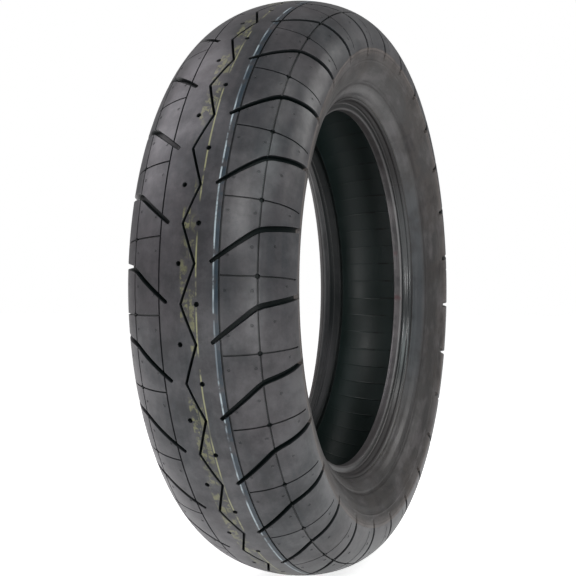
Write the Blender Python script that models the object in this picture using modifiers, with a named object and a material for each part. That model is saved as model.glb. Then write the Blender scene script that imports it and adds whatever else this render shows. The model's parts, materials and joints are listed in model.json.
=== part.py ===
"""Motorcycle tyre, bare and off its rim, as the layers it is built from.

Metres, +Z up. The origin is the wheel centre, +Y is the spin axis and +X is the way forward.
A section of the tyre is drawn as points (y, r): y across the tyre, r out from the spin axis.
Every layer is an offset of one line through the section, the carcass line, which runs inside
the casing from the crown, down the sidewall and round the bead. It turns round Y with the
same steps for all layers, so that they nest with an even gap.
"""

from math import atan2, cos, hypot, pi, radians, sin

import bmesh
import bpy
from mathutils import Matrix, Vector
from mathutils.geometry import interpolate_bezier

# Driving dimensions
CROWN_RADIUS = 0.3235
CROWN_CURVATURE = 2.204 / CROWN_RADIUS
SHOULDER_CURVATURE = 17.78 / CROWN_RADIUS**3
BEAD_TOE_RADIUS = 0.200
BEAD_TOE_HALF_WIDTH = 0.0357
BEAD_HALF_WIDTH = 0.0465
GAP = 0.0003

# Turned steps: the layers share one count, and the tread's outside has twice as many.
STEPS = 28
TREAD_STEPS = 2 * STEPS
CROWN_STATIONS = 4
TREAD_STATIONS = 5

# Section of the bead and lower sidewall
HEEL_RISE = 0.0012
FLANGE_TOP = (BEAD_HALF_WIDTH, BEAD_TOE_RADIUS + 0.008)
RIM_LINE = (BEAD_HALF_WIDTH + 0.010, BEAD_TOE_RADIUS + 0.0135)
RIM_LINE_SLOPE = radians(137)
SHOULDER_HANDLE = 0.010
RIM_LINE_HANDLE = 0.022
BEAD_INSIDE_TOP = (0.0366, BEAD_TOE_RADIUS + 0.011)

# Layer thicknesses
CHAFER = 0.0010
PLY = 0.0008
BREAKER = 0.0008
TREAD_BASE = 0.0014
LINER = 0.0012
FLIPPER = 0.0004
BUNDLE_HEIGHT = 0.0045

# Depth of the carcass line below the outer surface, at each crown station and down the sidewall
CROWN_DEPTHS = (0.0127, 0.0127, 0.0125, 0.0118, 0.0090)
SIDEWALL_DEPTHS = ((0.5, 0.0055), (0.8, 0.0054), (1.0, 0.0082))
TURN_UP_END = 0.85

# Stations along the carcass line, counted from the crown centre
SHOULDER = CROWN_STATIONS
SIDEWALL_LOW = SHOULDER + 2
FILLER_SIDE = SHOULDER + 3
BEAD_INSIDE = SHOULDER + 4
HEEL = SHOULDER + 6
FLANGE = SHOULDER + 7
TURN_UP = SHOULDER + 8
PLY_END = SHOULDER + 9

# Heights above the carcass line, from the carcass outwards
PLY_OUTER = PLY / 2 + GAP
BREAKER_INNER = PLY_OUTER + PLY + GAP
BREAKER_OUTER = BREAKER_INNER + BREAKER + GAP
BASE = BREAKER_OUTER + BREAKER + GAP
CAP = BASE + TREAD_BASE + GAP
CAP_AT_EDGE = 0.0038
BREAKER_INNER_END = 2.75
BREAKER_OUTER_END = 2.55
CUSHION_START = 2.80
BASE_END = 3.0
LINER_END_GAP = 0.03
SIDEWALL_END_GAP = 0.0005
FILLER_TIP_GAP = 0.15

# Tread pattern: one groove pair per pitch, the right side half a pitch out of step with the left
PITCHES = 27
PITCH = 2 * pi / PITCHES
PATTERN_TURN = 0.27 * PITCH
ZIGZAG_WIDTH = 0.0032
ZIGZAG_THROW = 0.022 * CROWN_RADIUS
ZIGZAG_DEPTH = 0.0056
# A groove's sections, from its inner tip, through its kink, over the shoulder into the sidewall
GROOVE_ARCS = [share * CROWN_RADIUS for share in (0.067, 0.1085, 0.2055, 0.260, 0.310, 0.354, 0.380)]
GROOVE_LAGS = (0.010, 0.143, 0.454, 0.494, 0.531, 0.5635, 0.583)
GROOVE_WIDTHS = (0.0042, 0.0058, 0.0058, 0.0058, 0.0058, 0.0058, 0.0050)
GROOVE_DEPTHS = (0.0040, 0.0055, 0.0055, 0.0050, 0.0042, 0.0040, 0.0030)
CUTTER_PROUD = 0.004
CAP_BLANK_WIDTH = 0.018
CAP_BLANK_DROP = 0.1

SHARP_ANGLE = radians(35)


# The outer surface of the section

def crown_angle(arc):
    """Slope of the crown at an arc length from the centre line, 0 across the top."""
    return CROWN_CURVATURE * arc + SHOULDER_CURVATURE * arc**3


def crown_arc(angle):
    """Arc length from the centre line at which the crown has turned through an angle."""
    arc = 0.0
    for _ in range(30):
        rate = CROWN_CURVATURE + 3 * SHOULDER_CURVATURE * arc**2
        arc -= (crown_angle(arc) - angle) / rate
    return arc


def crown_point(arc):
    """(y, r) on the crown at an arc length from the centre line, by adding up short chords."""
    chords = 60
    step = arc / chords
    middles = [crown_angle(step * (i + 0.5)) for i in range(chords)]
    y = sum(cos(angle) for angle in middles) * step
    drop = sum(sin(angle) for angle in middles) * step
    return y, CROWN_RADIUS - drop


def sidewall_ends():
    """Bezier points of the sidewall, from the widest point of the shoulder to the rim line."""
    wide, high = crown_point(crown_arc(pi / 2))
    low = RIM_LINE
    start_handle = (wide, high - SHOULDER_HANDLE)
    end_handle = (
        low[0] - RIM_LINE_HANDLE * cos(RIM_LINE_SLOPE),
        low[1] + RIM_LINE_HANDLE * sin(RIM_LINE_SLOPE),
    )
    return (wide, high), start_handle, end_handle, low


def sidewall_point(share):
    """(y, r) on the sidewall, at share 0 on the shoulder and 1 on the rim line."""
    steps = 400
    corners = [Vector(corner) for corner in sidewall_ends()]
    points = interpolate_bezier(*corners, steps + 1)
    point = points[round(share * steps)]
    return point[0], point[1]


def sidewall_normal(share):
    """Outward unit normal of the sidewall, as (y, r)."""
    near, far = sidewall_point(max(0, share - 0.01)), sidewall_point(min(1, share + 0.01))
    run, drop = far[0] - near[0], far[1] - near[1]
    length = hypot(run, drop)
    return -drop / length, run / length


# Lines through the section

def between(near, far, share):
    """The point or station that lies a share of the way from one to another."""
    return tuple(a + (b - a) * share for a, b in zip(near, far))


def offset(path, distance):
    """The path moved to its left by a distance, with mitred corners."""
    moved = []
    for i, point in enumerate(path):
        before = path[max(i - 1, 0)]
        after = path[min(i + 1, len(path) - 1)]
        into = atan2(point[1] - before[1], point[0] - before[0])
        out = atan2(after[1] - point[1], after[0] - point[0])
        if i == 0:
            into = out
        if i == len(path) - 1:
            out = into
        turn = (out - into + pi) % (2 * pi) - pi
        middle = into + turn / 2 + pi / 2
        reach = distance / cos(turn / 2)
        moved.append((point[0] + reach * cos(middle), point[1] + reach * sin(middle)))
    return moved


def mirrored(points):
    return [(-y, r) for y, r in reversed(points)]


def bead_outline():
    """The bead's surface, from inside the tyre round the toe and heel to the end of the turn-up."""
    toe = (BEAD_TOE_HALF_WIDTH, BEAD_TOE_RADIUS)
    heel = (BEAD_HALF_WIDTH, BEAD_TOE_RADIUS + HEEL_RISE)
    return [BEAD_INSIDE_TOP, toe, heel, FLANGE_TOP, RIM_LINE, sidewall_point(TURN_UP_END)]


def carcass_line():
    """Half of the carcass line, from the crown centre to the end of the ply's turn-up."""
    line = []
    for i, depth in enumerate(CROWN_DEPTHS):
        angle = pi / 2 * i / CROWN_STATIONS
        y, r = crown_point(crown_arc(angle))
        line.append((y - depth * sin(angle), r - depth * cos(angle)))
    for share, depth in SIDEWALL_DEPTHS:
        y, r = sidewall_point(share)
        across, out = sidewall_normal(share)
        line.append((y - depth * across, r - depth * out))
    return line + offset(bead_outline(), CHAFER + GAP + PLY / 2)


HALF_LINE = carcass_line()
WHOLE_LINE = mirrored(HALF_LINE[1:]) + HALF_LINE
CENTRE = len(HALF_LINE) - 1


def level(height, start, end):
    """The carcass line moved out by a height, between two stations that may be fractions."""
    moved = offset(WHOLE_LINE, height)

    def at(station):
        place = station + CENTRE
        index = min(int(place), len(moved) - 2)
        share = place - index
        return between(moved[index], moved[index + 1], share)

    whole = [moved[i + CENTRE] for i in range(-CENTRE, CENTRE + 1) if start < i < end]
    return [at(start)] + whole + [at(end)]


def spot(height, station):
    """One point at a height above the carcass line."""
    return level(height, station, station)[0]


def moved_along(station, distance):
    """The station a distance further along the carcass line."""
    index = int(station)
    near, far = HALF_LINE[index], HALF_LINE[index + 1]
    return station + distance / hypot(far[0] - near[0], far[1] - near[1])


def layer(low, high, start, end):
    """Closed outline of a layer between two heights and two stations."""
    return level(high, start, end) + level(low, start, end)[::-1]


# Solids

def remove_everything():
    for obj in list(bpy.data.objects):
        bpy.data.objects.remove(obj, do_unlink=True)


def new_collection(name):
    collection = bpy.data.collections.new(name)
    bpy.context.scene.collection.children.link(collection)
    return collection


def new_material(name, colour, roughness, metallic=0.0):
    material = bpy.data.materials.new(name)
    material.use_nodes = True
    shader = material.node_tree.nodes["Principled BSDF"]
    shader.inputs["Base Color"].default_value = (*colour, 1.0)
    shader.inputs["Roughness"].default_value = roughness
    shader.inputs["Metallic"].default_value = metallic
    material.diffuse_color = (*colour, 1.0)
    return material


def evaluated_mesh(obj):
    graph = bpy.context.evaluated_depsgraph_get()
    return bpy.data.meshes.new_from_object(obj.evaluated_get(graph))


def settle(obj):
    """Turns the object's modifiers into its mesh, shaded smooth between its sharp edges."""
    mesh = evaluated_mesh(obj)
    obj.modifiers.clear()
    obj.data = mesh
    mesh.shade_smooth()
    mesh.set_sharp_from_angle(angle=SHARP_ANGLE)
    return obj


def turned(name, outline, steps, collection):
    """A ring: the closed outline of (y, r) points turned round the spin axis."""
    area = sum(a[0] * b[1] - b[0] * a[1] for a, b in zip(outline, outline[1:] + outline[:1]))
    ordered = outline if area > 0 else outline[::-1]
    mesh = bpy.data.meshes.new(name)
    count = len(ordered)
    edges = [(i, (i + 1) % count) for i in range(count)]
    mesh.from_pydata([(r, y, 0.0) for y, r in ordered], edges, [])
    obj = bpy.data.objects.new(name, mesh)
    collection.objects.link(obj)
    screw = obj.modifiers.new("Turn", "SCREW")
    screw.axis = "Y"
    screw.steps = steps
    screw.render_steps = steps
    screw.use_merge_vertices = True
    screw.merge_threshold = 0.00001
    return settle(obj)


def add_layer(name, outline, material):
    obj = turned(name, outline, STEPS, PARTS)
    obj.data.materials.append(material)
    return obj


def add_pair(name, outline, material):
    """Two rings: the outline's own on the left, which is +Y, and its mirror image on the right."""
    add_layer(name + "_left", outline, material)
    add_layer(name + "_right", mirrored(outline), material)


def cut(obj, cutter):
    difference = obj.modifiers.new("Cut", "BOOLEAN")
    difference.operation = "DIFFERENCE"
    difference.solver = "EXACT"
    difference.object = cutter
    cutter.hide_render = True
    cutter.display_type = "WIRE"


# The tread cap and its grooves

def tread_place(arc, turn, depth):
    """A point below the crown's surface, at an arc across it and a turn round the axis."""
    y, r = crown_point(arc)
    angle = crown_angle(arc)
    y -= depth * sin(angle)
    r -= depth * cos(angle)
    return Vector((r * cos(turn), y, r * sin(turn)))


def zigzag_cutter():
    """A ring through the crown whose corners step to either side, two to a pitch."""
    half_pitch = PITCH / 2
    spin = Matrix.Rotation(-PATTERN_TURN, 4, "Y")
    half = ZIGZAG_WIDTH / 2
    low, high = CROWN_RADIUS - ZIGZAG_DEPTH, CROWN_RADIUS + CUTTER_PROUD
    outline = [(-half, low), (half, low), (half, high), (-half, high)]
    ring = turned("zigzag_cutter", outline, 2 * PITCHES, CUTTERS)
    for vertex in ring.data.vertices:
        corner = round(atan2(vertex.co.z, vertex.co.x) / half_pitch)
        vertex.co.y += ZIGZAG_THROW * (1 if corner % 2 == 0 else -1)
    ring.data.transform(spin)
    return ring


def add_groove(bm, turn, side):
    """Lofts one lateral groove's cutter through its sections."""
    stations = list(zip(GROOVE_ARCS, GROOVE_LAGS, GROOVE_WIDTHS, GROOVE_DEPTHS))
    flat = [(arc, lag * PITCH * CROWN_RADIUS) for arc, lag, _, _ in stations]
    edges = [offset(flat, 0.5), offset(flat, -0.5)]
    sections = []
    for i, (arc, lag, width, depth) in enumerate(stations):
        corners = []
        for edge, deep in ((0, depth), (1, depth), (1, -CUTTER_PROUD), (0, -CUTTER_PROUD)):
            across = (edges[edge][i][0] - flat[i][0]) * width
            around = (edges[edge][i][1] - flat[i][1]) * width
            place = tread_place(arc + across, turn + lag * PITCH + around / CROWN_RADIUS, deep)
            corners.append(bm.verts.new((place.x, place.y * side, place.z)))
        sections.append(corners)
    for near, far in zip(sections, sections[1:]):
        for i in range(4):
            bm.faces.new((near[i], near[i - 1], far[i - 1], far[i]))
    bm.faces.new(sections[0])
    bm.faces.new(sections[-1][::-1])


def groove_cutter():
    bm = bmesh.new()
    for i in range(PITCHES):
        start = PATTERN_TURN + i * PITCH
        add_groove(bm, start, 1)
        add_groove(bm, start + PITCH / 2, -1)
    bmesh.ops.recalc_face_normals(bm, faces=bm.faces)
    mesh = bpy.data.meshes.new("groove_cutter")
    bm.to_mesh(mesh)
    bm.free()
    cutter = bpy.data.objects.new("groove_cutter", mesh)
    CUTTERS.objects.link(cutter)
    return cutter


def core_cutter():
    """What lies under the tread cap, so that the cap's underside nests on the layers below."""
    under = level(CAP, -BASE_END, BASE_END)
    edge = spot(CAP_AT_EDGE, SHOULDER)
    beyond = (edge[0] + CAP_BLANK_WIDTH, edge[1])
    inside = (beyond[0], BEAD_TOE_RADIUS)
    outline = under + [edge, beyond, inside] + mirrored([edge, beyond, inside])
    return turned("core_cutter", outline, STEPS, CUTTERS)


def add_tread_cap(material, grooves):
    angles = [pi / 2 * i / TREAD_STATIONS for i in range(TREAD_STATIONS + 1)]
    crown = [crown_point(crown_arc(angle)) for angle in angles]
    wide, low = sidewall_point(CAP_BLANK_DROP)
    blank = crown + [(wide, low), (wide - CAP_BLANK_WIDTH, low)]
    outline = mirrored(blank[1:]) + blank
    cap = turned("tread_cap", outline, TREAD_STEPS, PARTS)
    cap.data.materials.append(material)
    for cutter in (core_cutter(), zigzag_cutter(), grooves):
        cut(cap, cutter)
    return cap


# The layers below it

def add_crown_layers():
    cord = new_material("nylon_cord", (0.55, 0.45, 0.30), 0.8)
    rubber = new_material("base_rubber", (0.05, 0.05, 0.05), 0.7)
    add_layer("tread_base", layer(BASE, BASE + TREAD_BASE, -BASE_END, BASE_END), rubber)
    outer = layer(BREAKER_OUTER, BREAKER_OUTER + BREAKER, -BREAKER_OUTER_END, BREAKER_OUTER_END)
    inner = layer(BREAKER_INNER, BREAKER_INNER + BREAKER, -BREAKER_INNER_END, BREAKER_INNER_END)
    add_layer("breaker_outer", outer, cord)
    add_layer("breaker_inner", inner, cord)
    cushion = layer(BREAKER_INNER, BASE - GAP, CUSHION_START, BASE_END)
    add_pair("breaker_edge_cushion", cushion, rubber)


def add_carcass():
    cord = new_material("carcass_cord", (0.42, 0.33, 0.22), 0.8)
    liner = new_material("liner_rubber", (0.02, 0.025, 0.024), 0.45)
    outer = layer(PLY_OUTER, PLY_OUTER + PLY, -SIDEWALL_LOW, SIDEWALL_LOW)
    add_layer("carcass_ply_outer", outer, cord)
    add_layer("carcass_ply_inner", layer(-PLY / 2, PLY / 2, -PLY_END, PLY_END), cord)
    top = -PLY / 2 - GAP
    end = BEAD_INSIDE - LINER_END_GAP
    add_layer("inner_liner", layer(top - LINER, top, -end, end), liner)


def add_sidewalls(grooves):
    rubber = new_material("sidewall_rubber", (0.045, 0.042, 0.04), 0.6)
    wing = new_material("wing_rubber", (0.05, 0.047, 0.045), 0.6)
    under = PLY_OUTER + PLY + GAP
    start = moved_along(BASE_END, GAP)
    wing_top = [spot(CAP - GAP, start), spot(CAP_AT_EDGE - GAP, SHOULDER)]
    add_pair("tread_wing", wing_top + level(under, start, SHOULDER)[::-1], wing)

    corner = spot(under, SHOULDER)
    top = corner[1] - GAP
    end_share = 1 - SIDEWALL_END_GAP / (3 * RIM_LINE_HANDLE)
    shares = (0, 0.25, 0.5, 0.7, TURN_UP_END, end_share)
    surface = [sidewall_point(share) for share in shares]
    surface[0] = (surface[0][0], top)
    lining = level(under, SHOULDER, SIDEWALL_LOW)[1:]
    lower, upper = offset(bead_outline(), CHAFER)[-2:]
    share = SIDEWALL_END_GAP / hypot(upper[0] - lower[0], upper[1] - lower[1])
    shelf = [upper, between(lower, upper, share)]
    inner = [(corner[0], top)] + lining + shelf
    add_pair("sidewall", surface + inner[::-1], rubber)
    for side in ("left", "right"):
        cut(PARTS.objects["sidewall_" + side], grooves)


def add_beads():
    wire = new_material("bead_wire", (0.55, 0.42, 0.25), 0.35, 1.0)
    hard = new_material("filler_rubber", (0.03, 0.03, 0.03), 0.6)
    cloth = new_material("flipper_cloth", (0.35, 0.32, 0.27), 0.85)
    seat = new_material("chafer_rubber", (0.035, 0.037, 0.037), 0.4)

    outline = bead_outline()[:-1] + offset(bead_outline(), CHAFER)[-2::-1]
    add_pair("chafer", outline, seat)
    wrap = PLY / 2 + GAP
    add_pair("bead_flipper", layer(wrap, wrap + FLIPPER, FILLER_SIDE, TURN_UP), cloth)

    room = wrap + FLIPPER + GAP
    left = spot(room, BEAD_INSIDE)[0]
    right = spot(room, FLANGE)[0]
    low = spot(room, HEEL)[1]
    high = low + BUNDLE_HEIGHT
    add_pair("bead_wires", [(left, low), (right, low), (right, high), (left, high)], wire)

    filler = [(left, high + GAP), (right, high + GAP)]
    filler += level(room, FLANGE, TURN_UP)
    filler += [spot(wrap, PLY_END - FILLER_TIP_GAP), spot(wrap, SIDEWALL_LOW + FILLER_TIP_GAP)]
    filler += level(room, FILLER_SIDE, BEAD_INSIDE)
    add_pair("bead_filler", filler, hard)


remove_everything()
PARTS = new_collection("motorcycle_tire")
CUTTERS = new_collection("cutters")
GROOVES = groove_cutter()
add_tread_cap(new_material("tread_rubber", (0.075, 0.075, 0.08), 0.55), GROOVES)
add_crown_layers()
add_carcass()
add_sidewalls(GROOVES)
add_beads()
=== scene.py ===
"""The looks of a bare motorcycle tyre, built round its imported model.

Metres, +Z up, in the frame's own axes: +Y is the spin axis and +X the way forward.
A section of the tyre is drawn as points (y, r): y across the tyre, r out from the spin axis.
The tread is one pitch of its pattern, drawn flat as (arc, run): arc across the crown from its
centre line, run round it. That tile is wrapped on the crown and repeated round the tyre.
"""

import json
from math import atan2, ceil, cos, hypot, pi, radians, sin, tan

import bmesh
import bpy
import numpy as np
from mathutils import Matrix, Vector
from mathutils.geometry import delaunay_2d_cdt, interpolate_bezier


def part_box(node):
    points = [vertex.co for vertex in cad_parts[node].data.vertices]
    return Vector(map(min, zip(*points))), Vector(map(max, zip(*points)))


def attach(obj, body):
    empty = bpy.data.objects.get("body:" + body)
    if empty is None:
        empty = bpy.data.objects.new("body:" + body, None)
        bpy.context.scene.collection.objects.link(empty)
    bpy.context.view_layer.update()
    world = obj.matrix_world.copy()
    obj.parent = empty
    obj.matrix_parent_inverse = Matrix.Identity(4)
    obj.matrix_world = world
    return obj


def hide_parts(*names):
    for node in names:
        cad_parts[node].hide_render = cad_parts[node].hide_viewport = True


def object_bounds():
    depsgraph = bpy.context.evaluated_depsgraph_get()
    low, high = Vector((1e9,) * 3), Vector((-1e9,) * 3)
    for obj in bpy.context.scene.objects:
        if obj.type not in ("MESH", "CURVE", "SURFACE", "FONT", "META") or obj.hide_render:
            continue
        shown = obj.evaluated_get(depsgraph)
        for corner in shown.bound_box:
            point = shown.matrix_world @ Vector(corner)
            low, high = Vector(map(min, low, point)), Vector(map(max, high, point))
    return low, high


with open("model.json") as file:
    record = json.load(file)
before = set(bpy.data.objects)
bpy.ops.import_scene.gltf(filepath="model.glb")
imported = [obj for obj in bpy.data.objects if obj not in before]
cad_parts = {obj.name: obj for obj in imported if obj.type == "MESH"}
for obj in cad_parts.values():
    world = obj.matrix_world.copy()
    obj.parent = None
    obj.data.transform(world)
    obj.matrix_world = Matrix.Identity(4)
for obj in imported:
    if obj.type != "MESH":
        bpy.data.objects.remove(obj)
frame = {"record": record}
CAD_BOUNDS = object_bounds()

# Sizes read from the frame
MOUNTS = {mount["name"]: mount for mount in frame["record"]["mounts"]}
BEAD_FACE = MOUNTS["bead_face_left"]["pos_m"]
FACE_ABOVE_TOE = 0.0045
TREAD_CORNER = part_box("tread_cap")[1]
CROWN_RADIUS = min(TREAD_CORNER.x, TREAD_CORNER.z)
BEAD_HALF_WIDTH = BEAD_FACE[1]
BEAD_TOE_RADIUS = BEAD_FACE[0] - FACE_ABOVE_TOE
BEAD_TOE_HALF_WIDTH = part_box("chafer_left")[0].y

# The section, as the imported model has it
CROWN_CURVATURE = 2.204 / CROWN_RADIUS
SHOULDER_CURVATURE = 17.78 / CROWN_RADIUS**3
CROWN_REACH = 0.36
CROWN_TABLE_STEPS = 4001
SIDEWALL_TABLE_STEPS = 401
HEEL_RISE = 0.0012
FLANGE_TOP = (BEAD_HALF_WIDTH, BEAD_TOE_RADIUS + 0.008)
RIM_LINE = (BEAD_HALF_WIDTH + 0.01, BEAD_TOE_RADIUS + 0.0135)
RIM_LINE_SLOPE = radians(137)
SHOULDER_HANDLE = 0.01
RIM_LINE_HANDLE = 0.022
BEAD_INSIDE_TOP = (BEAD_TOE_HALF_WIDTH + 0.0009, BEAD_TOE_RADIUS + 0.011)
GAP = 0.0003
CHAFER = 0.001
PLY = 0.0008
BREAKER = 0.0008
TREAD_BASE = 0.0014
LINER = 0.0012
FLIPPER = 0.0004
BUNDLE_HEIGHT = 0.0045
CROWN_DEPTHS = (0.0127, 0.0127, 0.0125, 0.0118, 0.009)
SIDEWALL_DEPTHS = ((0.5, 0.0055), (0.8, 0.0054), (1.0, 0.0082))
TURN_UP_END = 0.85

# Stations along the carcass line, counted from the crown centre
SHOULDER = 4
SIDEWALL_LOW = 6
FILLER_SIDE = 7
BEAD_INSIDE = 8
HEEL = 10
FLANGE = 11
TURN_UP = 12
PLY_END = 13
BREAKER_INNER_END = 2.75
BREAKER_OUTER_END = 2.55
CUSHION_START = 2.8
BASE_END = 3.0

# Heights above the carcass line
PLY_OUTER = PLY / 2 + GAP
BREAKER_INNER = PLY_OUTER + PLY + GAP
BREAKER_OUTER = BREAKER_INNER + BREAKER + GAP
BASE = BREAKER_OUTER + BREAKER + GAP
CAP = BASE + TREAD_BASE + GAP
CAP_AT_EDGE = 0.0038
UNDER_SIDEWALL = PLY_OUTER + PLY + GAP

# Fineness
TURNS = 324
HIDDEN_TURNS = 162
FINE_STEPS = 8
SHARP = radians(38)
TREAD_SHARP = radians(30)
LEAST_MITRE = 0.4
CORNER_PULL = 0.55
CORNER_STEP = radians(18)

# The tread pattern
PITCHES = 27
PITCH = 2 * pi / PITCHES
PITCH_LENGTH = PITCH * CROWN_RADIUS
PATTERN_TURN = 0.27 * PITCH
TILE_STEPS = TURNS // PITCHES
TILE_ARC_STEP = 0.0042


def arc_of(share):
    """Arc across the crown, from a share of the crown's radius."""
    return share * CROWN_RADIUS


# Camera: the place, in the row frame, from which the tyre shows its tread and its left side
CAMERA_AZIMUTH = radians(111.88)
CAMERA_ELEVATION = radians(-0.43)
CAMERA_DISTANCE = 4.598 * CROWN_RADIUS
CAMERA_ASIDE = -0.0853 * CROWN_RADIUS
CAMERA_LENS = 80.8


# ---------------- section

def crown_table():
    """Arc, y, r and angle from the crown centre to where the surface stands upright."""
    arcs = np.linspace(0, arc_of(CROWN_REACH), CROWN_TABLE_STEPS)
    angles = CROWN_CURVATURE * arcs + SHOULDER_CURVATURE * arcs**3
    step = arcs[1] - arcs[0]
    middle = (angles[1:] + angles[:-1]) / 2
    across = np.concatenate([[0], np.cumsum(np.cos(middle) * step)])
    drop = np.concatenate([[0], np.cumsum(np.sin(middle) * step)])
    keep = angles <= pi / 2 + 0.001
    return arcs[keep], across[keep], CROWN_RADIUS - drop[keep], angles[keep]


ARCS, ACROSS, OUT, ANGLES = crown_table()
TREAD_EDGE = float(np.interp(pi / 2, ANGLES, ARCS))


def crown_place(arc, depth):
    """(y, r) at a depth below the crown, for arrays of arcs and depths."""
    size = np.abs(arc)
    side = np.where(arc < 0, -1.0, 1.0)
    angle = np.interp(size, ARCS, ANGLES)
    y = np.interp(size, ARCS, ACROSS) - depth * np.sin(angle)
    r = np.interp(size, ARCS, OUT) - depth * np.cos(angle)
    return side * y, r


def crown_point(angle, depth):
    """(y, r) at a depth below the crown where its slope is an angle."""
    y, r = crown_place(np.interp(angle, ANGLES, ARCS), depth)
    return float(y), float(r)


def sidewall_corners():
    """The four handles of the sidewall's curve, from the shoulder down to the rim line."""
    wide, high = crown_point(pi / 2, 0)
    across = RIM_LINE[0] - RIM_LINE_HANDLE * cos(RIM_LINE_SLOPE)
    out = RIM_LINE[1] + RIM_LINE_HANDLE * sin(RIM_LINE_SLOPE)
    corners = (wide, high), (wide, high - SHOULDER_HANDLE), (across, out), RIM_LINE
    return [Vector(corner) for corner in corners]


SIDEWALL_CURVE = interpolate_bezier(*sidewall_corners(), SIDEWALL_TABLE_STEPS)
SIDEWALL_LINE = [tuple(point)[:2] for point in SIDEWALL_CURVE]


def sidewall_point(share):
    """(y, r) on the sidewall, at share 0 on the shoulder and 1 on the rim line."""
    place = share * (len(SIDEWALL_LINE) - 1)
    index = min(int(place), len(SIDEWALL_LINE) - 2)
    return between(SIDEWALL_LINE[index], SIDEWALL_LINE[index + 1], place - index)


def sidewall_normal(share, reach=0.01):
    """The way out of the sidewall at a share down it."""
    near, far = sidewall_point(max(0, share - reach)), sidewall_point(min(1, share + reach))
    run, drop = far[0] - near[0], far[1] - near[1]
    length = hypot(run, drop)
    return -drop / length, run / length


def between(near, far, share):
    return tuple(a + (b - a) * share for a, b in zip(near, far))


def offset(path, distance, closed=False):
    """The path moved to its left by a distance, or one for each point, with mitred corners."""
    points = np.array(path, float)
    steps = np.roll(points, -1, 0) - points
    out = np.arctan2(steps[:, 1], steps[:, 0])
    into = np.roll(out, 1)
    if not closed:
        into[0], out[-1] = out[0], into[-1]
    turn = (out - into + pi) % (2 * pi) - pi
    middle = into + turn / 2 + pi / 2
    reach = distance / np.maximum(np.cos(turn / 2), LEAST_MITRE)
    return list(zip(*(points.T + reach * np.stack([np.cos(middle), np.sin(middle)]))))


def lengths_along(path):
    """How far along the path each of its points lies."""
    steps = np.hypot(*np.diff(np.array(path), axis=0).T)
    return np.concatenate([[0], np.cumsum(steps)])


def embossed(path, ridges, step):
    """The path with ridges on its left side, each a (place along it, width, height)."""
    fine = densified(path, step)
    along = lengths_along(fine)
    lift = np.zeros(len(fine))
    for place_along, width, height in ridges:
        rise = np.clip((width / 2 - np.abs(along - place_along)) / (0.4 * width), 0, 1)
        lift += height * rise**2 * (3 - 2 * rise)
    return offset(fine, lift)


def mirrored(points):
    return [(-y, r) for y, r in reversed(points)]


def bead_outline():
    """Round the bead from inside its toe, past its heel and flange, to the end of the ply."""
    toe = (BEAD_TOE_HALF_WIDTH, BEAD_TOE_RADIUS)
    heel = (BEAD_HALF_WIDTH, BEAD_TOE_RADIUS + HEEL_RISE)
    return [BEAD_INSIDE_TOP, toe, heel, FLANGE_TOP, RIM_LINE, sidewall_point(TURN_UP_END)]


def carcass_corners():
    """The carcass line at its whole stations, from the crown centre to the ply's end."""
    line = [crown_point(pi / 2 * i / SHOULDER, depth) for i, depth in enumerate(CROWN_DEPTHS)]
    for share, depth in SIDEWALL_DEPTHS:
        y, r = sidewall_point(share)
        across, out = sidewall_normal(share)
        line.append((y - depth * across, r - depth * out))
    return line + offset(bead_outline(), CHAFER + GAP + PLY / 2)


def carcass_line():
    """(station, y, r), smooth from the crown down to the bead and straight-sided round it."""
    corners = carcass_corners()
    line = []
    for i in range(SHOULDER * FINE_STEPS):
        station = i / FINE_STEPS
        depth = np.interp(station, range(SHOULDER + 1), CROWN_DEPTHS)
        line.append((station, *crown_point(pi / 2 * station / SHOULDER, depth)))
    points = [Vector(corner) for corner in corners]
    for low in range(SHOULDER, BEAD_INSIDE):
        before, here, there, after = points[low - 1:low + 3]
        start = here + (there - before) / 6
        end = there - (after - here) / 6
        for i, point in enumerate(interpolate_bezier(here, start, end, there, FINE_STEPS + 1)[:-1]):
            line.append((low + i / FINE_STEPS, point.x, point.y))
    for station in range(BEAD_INSIDE, PLY_END + 1):
        line.append((station, *corners[station]))
    return line


CARCASS = carcass_line()


def level(height, start, end):
    """One side of the carcass line moved out by a height, between two stations."""
    mirror = [(-y, r) for _, y, r in reversed(CARCASS[1:4])]
    moved = offset(mirror + [(y, r) for _, y, r in CARCASS], height)[len(mirror):]
    stations = [station for station, _, _ in CARCASS]

    def at(station):
        return tuple(float(np.interp(station, stations, axis)) for axis in zip(*moved))

    inside = [point for station, point in zip(stations, moved) if start < station < end]
    return [at(start)] + inside + [at(end)]


def whole_level(height, end):
    """The carcass line moved out by a height, from the right side's station to the left's."""
    half = level(height, 0, end)
    return mirrored(half[1:]) + half


def spot(height, station):
    return level(height, station, station)[0]


def layer(low, high, start, end):
    return level(high, start, end) + level(low, start, end)[::-1]


def whole_layer(low, high, end):
    return whole_level(high, end) + whole_level(low, end)[::-1]


def rounded(path, radius, least_turn=radians(20)):
    """The open path with an arc of about this radius in place of each sharp corner."""
    done = [path[0]]
    for before, point, after in zip(path, path[1:], path[2:]):
        into = Vector(point) - Vector(before)
        out = Vector(after) - Vector(point)
        turn = abs((atan2(out.y, out.x) - atan2(into.y, into.x) + pi) % (2 * pi) - pi)
        if turn < least_turn or min(into.length, out.length) < 1e-6:
            done.append(point)
            continue
        cut = min(radius * tan(turn / 2), 0.45 * into.length, 0.45 * out.length)
        start = Vector(point) - into.normalized() * cut
        end = Vector(point) + out.normalized() * cut
        steps = max(2, ceil(turn / CORNER_STEP))
        handles = [cut_end.lerp(Vector(point), CORNER_PULL) for cut_end in (start, end)]
        done += [(p.x, p.y) for p in interpolate_bezier(start, *handles, end, steps + 1)]
    return done + [path[-1]]


# ---------------- meshes

def placed(name, data):
    """A new object in the scene."""
    obj = bpy.data.objects.new(name, data)
    bpy.context.scene.collection.objects.link(obj)
    return obj


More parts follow.
